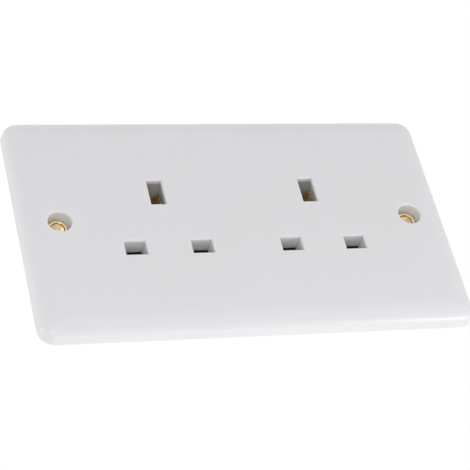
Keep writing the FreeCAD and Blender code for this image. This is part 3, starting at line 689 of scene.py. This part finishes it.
@dataclass
class Screws(Assembly):
    """Slotted screws: a packed head with eased edges, on a shank with a real helical thread.

    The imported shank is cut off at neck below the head's seat. Corners are in degrees, and ridge says where
    a ridge of the thread starts, tops and ends, as shares of the pitch.
    """

    neck: float = 0.3 * MM
    thread_start: float = 0.25 * MM
    rim_depth: float = 0.05 * MM
    rim_share: float = 0.9
    rim_corner: float = 30.0
    rim_steps: int = 5
    slot_edge: float = 0.05 * MM
    slot_corner: float = 50.0
    slot_steps: int = 2
    crease: float = 35.0
    ridge: tuple[float, float, float, float] = (0.0, 0.38, 0.5, 0.88)
    tip_share: float = 0.55
    steps: int = 40

    def make(self) -> None:
        """Make every screw."""
        for node in frame["nodes"]:
            if "screw" in node.split("_"):
                kind = ScrewKind.HOUSING if node.startswith("housing") else ScrewKind.TERMINAL
                self.make_one(node, kind.value)

    def make_one(self, node: str, size: ScrewSize) -> None:
        """Make one screw.

        Args:
            node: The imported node.
            size: The sizes of its kind.
        """
        low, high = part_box(node)
        centre = Vector(((low.x + high.x) / 2, 0.0, (low.z + high.z) / 2))
        seat = high.y - size.head_height
        shape = loose_copy(node)
        cut = bmesh.ops.bisect_plane(shape, geom=everything(shape), plane_co=(0.0, seat - self.neck, 0.0),
                                     plane_no=(0.0, -1.0, 0.0), clear_outer=True)
        bmesh.ops.holes_fill(shape, edges=only(bmesh.types.BMEdge, cut["geom_cut"]))
        rim_radius = self.rim_share * (high.x - low.x) / 2
        rim = [edge for edge in sharper(shape, self.rim_corner)
               if all(vert.co.y > high.y - self.rim_depth
                      and math.hypot(vert.co.x - centre.x, vert.co.z - centre.z) > rim_radius
                      for vert in edge.verts)]
        ease(shape, rim, size.head_edge, self.rim_steps)
        ease(shape, sharper(shape, self.slot_corner), self.slot_edge, self.slot_steps)
        self.add_thread(shape, centre, seat - self.thread_start, low.y, size)
        self.show(node, shape, crease=self.crease)

    def add_thread(self, shape: bmesh.types.BMesh, centre: Vector, start: float, tip: float,
                   size: ScrewSize) -> None:
        """Add a threaded shank that ends in a short cone.

        Args:
            shape: The screw's mesh.
            centre: A point on the screw's axis.
            start: Where the thread starts, under the head.
            tip: Where the shank ends.
            size: The sizes of the screw's kind.
        """
        end = tip + size.taper
        turns = round((start - end) / size.pitch) - 1
        bottom = end + size.pitch / 2
        ridge = list(zip(self.ridge, (size.minor, size.major, size.major, size.minor)))
        chain = [shape.verts.new(centre + Vector((radius, bottom + (turn + share) * size.pitch, 0.0)))
                 for turn in range(turns) for share, radius in ridge]
        edges = [shape.edges.new(pair) for pair in zip(chain, chain[1:])]
        spun = bmesh.ops.spin(shape, geom=chain + edges, cent=centre, axis=(0.0, 1.0, 0.0),
                              dvec=(0.0, size.pitch / self.steps, 0.0), angle=math.tau, steps=self.steps)
        last = sorted(only(bmesh.types.BMVert, spun["geom_last"]), key=lambda vert: vert.co.y)
        for ridge_end in (chain[:len(ridge)], last[-len(ridge):]):
            bmesh.ops.contextual_create(shape, geom=ridge_end)
        bmesh.ops.remove_doubles(shape, verts=shape.verts, dist=MERGE_REACH)
        core = self.add_core(shape, centre, tip, start, size)
        bmesh.ops.recalc_face_normals(shape, faces=core)

    def add_core(self, shape: bmesh.types.BMesh, centre: Vector, tip: float, top: float,
                 size: ScrewSize) -> list[bmesh.types.BMFace]:
        """Add the core inside the thread, which tapers at its tip.

        Args:
            shape: The screw's mesh.
            centre: A point on the screw's axis.
            tip: Where the core ends.
            top: Where it starts.
            size: The sizes of the screw's kind.

        Returns:
            The core's faces.
        """
        before = set(shape.faces)
        section = [(0.0, tip), (self.tip_share * size.minor, tip), (size.minor, tip + size.taper),
                   (size.minor, top)]
        chain = [shape.verts.new(centre + Vector((out, depth, 0.0))) for out, depth in section]
        edges = [shape.edges.new(pair) for pair in zip(chain, chain[1:])]
        bmesh.ops.spin(shape, geom=chain + edges, cent=centre, axis=(0.0, 1.0, 0.0), angle=math.tau,
                       steps=self.steps, use_merge=True)
        bmesh.ops.remove_doubles(shape, verts=shape.verts, dist=MERGE_REACH)
        return [face for face in shape.faces if face not in before]


@dataclass
class Springs(Assembly):
    """Compression springs of round wire, with their end turns closed.

    The wire's middle runs from low to high, against a stop in the housing. closed_pitch is in wire radii.
    """

    middle: tuple[float, float] = (26.35 * MM, 2.85 * MM)
    radius: float = 1.8 * MM
    wire: float = 0.2 * MM
    low: float = -7.415 * MM
    high: float = 3.415 * MM
    stop: float = 3.815 * MM
    shutter_top: float = -7.815 * MM
    open_turns: int = 5
    closed_turns: int = 1
    closed_pitch: float = 2.1
    crease: float = 60.0
    steps: int = 28
    around: int = 10

    def make(self) -> None:
        """Make both springs, each with a mesh of its own."""
        for side, sign in (("left", -1.0), ("right", 1.0)):
            piece = self.make_one(f"shutter_spring_{side}", sign * self.middle[0])
            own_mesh(piece)

    def make_one(self, node: str, across: float) -> bpy.types.Object:
        """Wind one spring.

        Args:
            node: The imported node.
            across: Where its axis is along X.

        Returns:
            The spring.
        """
        shape = bmesh.new()
        centre = Vector((across, self.middle[1], self.low))
        wire_middle = Matrix.Translation(centre + Vector((self.radius, 0.0, 0.0)))
        start = wire_middle @ Matrix.Rotation(math.pi / 2, 4, "X")
        ring = bmesh.ops.create_circle(shape, cap_ends=True, segments=self.around, radius=self.wire,
                                       matrix=start)
        wire_end = ring["verts"] + list({edge for vert in ring["verts"] for edge in vert.link_edges})
        closed_rise = self.closed_pitch * self.wire * self.closed_turns
        open_rise = self.high - self.low - 2.0 * closed_rise
        for turns, rise in ((self.closed_turns, closed_rise), (self.open_turns, open_rise),
                            (self.closed_turns, closed_rise)):
            steps = turns * self.steps
            wound = bmesh.ops.spin(shape, geom=wire_end, cent=centre, axis=(0.0, 0.0, 1.0),
                                   dvec=(0.0, 0.0, rise / steps), angle=turns * math.tau, steps=steps)
            wire_end = [item for item in wound["geom_last"] if not isinstance(item, bmesh.types.BMFace)]
        bmesh.ops.contextual_create(shape, geom=only(bmesh.types.BMEdge, wire_end))
        bmesh.ops.recalc_face_normals(shape, faces=shape.faces)
        return self.show(node, shape, crease=self.crease)


@dataclass
class Letters(Assembly):
    """Small raised letters beside the terminals, which say what each one is for."""

    height: float = 4.2 * MM
    type_to_height: float = 1.4
    rise: float = 0.3 * MM
    sink: float = 0.05 * MM
    marks: dict[str, tuple[str, float]] = field(default_factory=lambda: {
        "neutral_terminal": ("N", 7.2 * MM), "live_terminal": ("L", 7.2 * MM),
        "earth_terminal_left": ("E", -7.2 * MM), "earth_terminal_right": ("E", -7.2 * MM),
    })

    def make(self) -> None:
        """Raise every letter from the back of the housing."""
        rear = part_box("rear_housing")[1].y
        for node, (letter, offset) in self.marks.items():
            low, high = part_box(node)
            middle = (low + high) / 2
            self.make_one(node, letter, Vector((middle.x, rear - self.sink, middle.z + offset)))

    def make_one(self, node: str, letter: str, spot: Vector) -> None:
        """Raise one letter.

        Args:
            node: The terminal that it marks.
            letter: The letter.
            spot: The middle of its foot.
        """
        curve = bpy.data.curves.new(f"{node}_mark", "FONT")
        curve.body = letter
        curve.size = self.height * self.type_to_height
        curve.align_x = "CENTER"
        curve.align_y = "CENTER"
        curve.extrude = (self.rise + self.sink) / 2
        writing = bpy.data.objects.new(f"{node}_writing", curve)
        bpy.context.scene.collection.objects.link(writing)
        bpy.context.view_layer.update()
        written = writing.evaluated_get(bpy.context.evaluated_depsgraph_get())
        mesh = bpy.data.meshes.new_from_object(written)
        bpy.data.objects.remove(writing)
        facing_back = Matrix(((-1.0, 0.0, 0.0), (0.0, 0.0, 1.0), (0.0, 1.0, 0.0))).to_4x4()
        mesh.transform(Matrix.Translation(spot + Vector((0.0, curve.extrude, 0.0))) @ facing_back)
        piece = bpy.data.objects.new(f"{node}_mark", mesh)
        bpy.context.scene.collection.objects.link(piece)
        self.wardrobe.dress(piece, Slot.SATIN_WHITE)
        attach(piece, "root")
        LOG.info("%s: letter %s", piece.name, letter)


@dataclass(frozen=True)
class Lamp:
    """A square soft lamp that faces the socket: where it hangs, its width, and its power in watts."""

    name: str
    place: Place
    width: float
    power: float

    def hang(self) -> None:
        """Hang the lamp, unseen by the camera."""
        data = bpy.data.lights.new(self.name, "AREA")
        data.size = self.width
        data.energy = self.power
        lamp = bpy.data.objects.new(self.name, data)
        bpy.context.scene.collection.objects.link(lamp)
        lamp.location = self.place
        lamp.rotation_mode = "QUATERNION"
        lamp.rotation_quaternion = (-Vector(self.place)).to_track_quat("-Z", "Y")
        lamp.visible_camera = False


@dataclass
class Studio:
    """A pale floor, a white surround, soft lamps and a camera at the photograph's angle."""

    lens: float = 141.95
    sensor: float = 36.0
    nearest: float = 0.01
    farthest: float = 50.0
    aim: Place = (-3.6 * MM, -6.0 * MM, -7.3 * MM)
    distance: float = 598.5 * MM
    azimuth: float = -23.47
    elevation: float = -34.74
    roll: float = -15.34
    floor_height: float = -0.75
    floor_reach: float = 8.0
    floor_colour: Colour = (0.86, 0.86, 0.86)
    floor_roughness: float = 0.9
    surround: float = 0.735
    lamps: tuple[Lamp, ...] = (
        Lamp("front", (-0.2, -0.45, -0.34), 0.3, 0.67),
        Lamp("left", (-0.5, 0.12, -0.05), 0.3, 0.34),
        Lamp("below", (0.05, 0.15, -0.45), 0.3, 0.26),
        Lamp("near", (0.22, -0.08, -0.25), 0.15, 0.24),
    )

    def towards_camera(self) -> Vector:
        """Work out the direction from the aim to the camera.

        Returns:
            The direction, of length 1.
        """
        turn = math.radians(self.azimuth)
        rise = math.radians(self.elevation)
        return Vector((math.sin(turn) * math.cos(rise), -math.cos(turn) * math.cos(rise), math.sin(rise)))

    def make_camera(self) -> None:
        """Set the camera where the photograph was taken from."""
        back = self.towards_camera()
        data = bpy.data.cameras.new("camera")
        data.lens = self.lens
        data.sensor_width = self.sensor
        data.clip_start = self.nearest
        data.clip_end = self.farthest
        camera = bpy.data.objects.new("camera", data)
        bpy.context.scene.collection.objects.link(camera)
        upright = (-back).to_track_quat("-Z", "Y").to_matrix().to_4x4()
        rolled = upright @ Matrix.Rotation(math.radians(self.roll), 4, "Z")
        camera.matrix_world = Matrix.Translation(Vector(self.aim) + back * self.distance) @ rolled
        bpy.context.scene.camera = camera

    def make_surround(self) -> None:
        """Make the world white where it is seen or mirrored, and a soft light elsewhere."""
        world = bpy.data.worlds.new("surround")
        world.use_nodes = True
        tree = world.node_tree
        tree.nodes.clear()
        rays = tree.nodes.new("ShaderNodeLightPath")
        seen = rays.outputs["Is Camera Ray"]
        for name in ("Is Glossy Ray", "Is Transmission Ray"):
            either = tree.nodes.new("ShaderNodeMath")
            either.operation = "MAXIMUM"
            tree.links.new(seen, either.inputs[0])
            tree.links.new(rays.outputs[name], either.inputs[1])
            seen = either.outputs[0]
        strength = tree.nodes.new("ShaderNodeMapRange")
        strength.inputs["To Min"].default_value = self.surround
        strength.inputs["To Max"].default_value = 1.0
        light = tree.nodes.new("ShaderNodeBackground")
        output = tree.nodes.new("ShaderNodeOutputWorld")
        tree.links.new(seen, strength.inputs["Value"])
        tree.links.new(strength.outputs["Result"], light.inputs["Strength"])
        tree.links.new(light.outputs["Background"], output.inputs["Surface"])
        light.inputs["Color"].default_value = (1.0, 1.0, 1.0, 1.0)
        bpy.context.scene.world = world

    def make_floor(self) -> None:
        """Lay a plain pale floor well below the socket."""
        mesh = bpy.data.meshes.new("floor")
        shape = bmesh.new()
        bmesh.ops.create_grid(shape, x_segments=1, y_segments=1, size=self.floor_reach,
                              matrix=Matrix.Translation((0.0, 0.0, self.floor_height)))
        shape.to_mesh(mesh)
        shape.free()
        floor = bpy.data.objects.new("floor", mesh)
        bpy.context.scene.collection.objects.link(floor)
        shader = Shader("floor")
        shader.surface.inputs["Base Color"].default_value = (*self.floor_colour, 1.0)
        shader.surface.inputs["Roughness"].default_value = self.floor_roughness
        mesh.materials.append(shader.material)

    def make(self) -> None:
        """Make the whole studio."""
        self.make_camera()
        self.make_surround()
        self.make_floor()
        for lamp in self.lamps:
            lamp.hang()
        bpy.context.scene.view_settings.view_transform = "Standard"


def main() -> None:
    """Build the studio, dress the socket and make its finer pieces."""
    logging.basicConfig(level=logging.INFO, format="%(message)s")
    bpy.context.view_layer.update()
    Studio().make()
    wardrobe = Wardrobe()
    wardrobe.dress_nodes()
    for assembly in (EasedPieces, Eyelets, Screws, Springs, Letters):
        assembly(wardrobe).make()


if __name__ == "__main__":
    main()
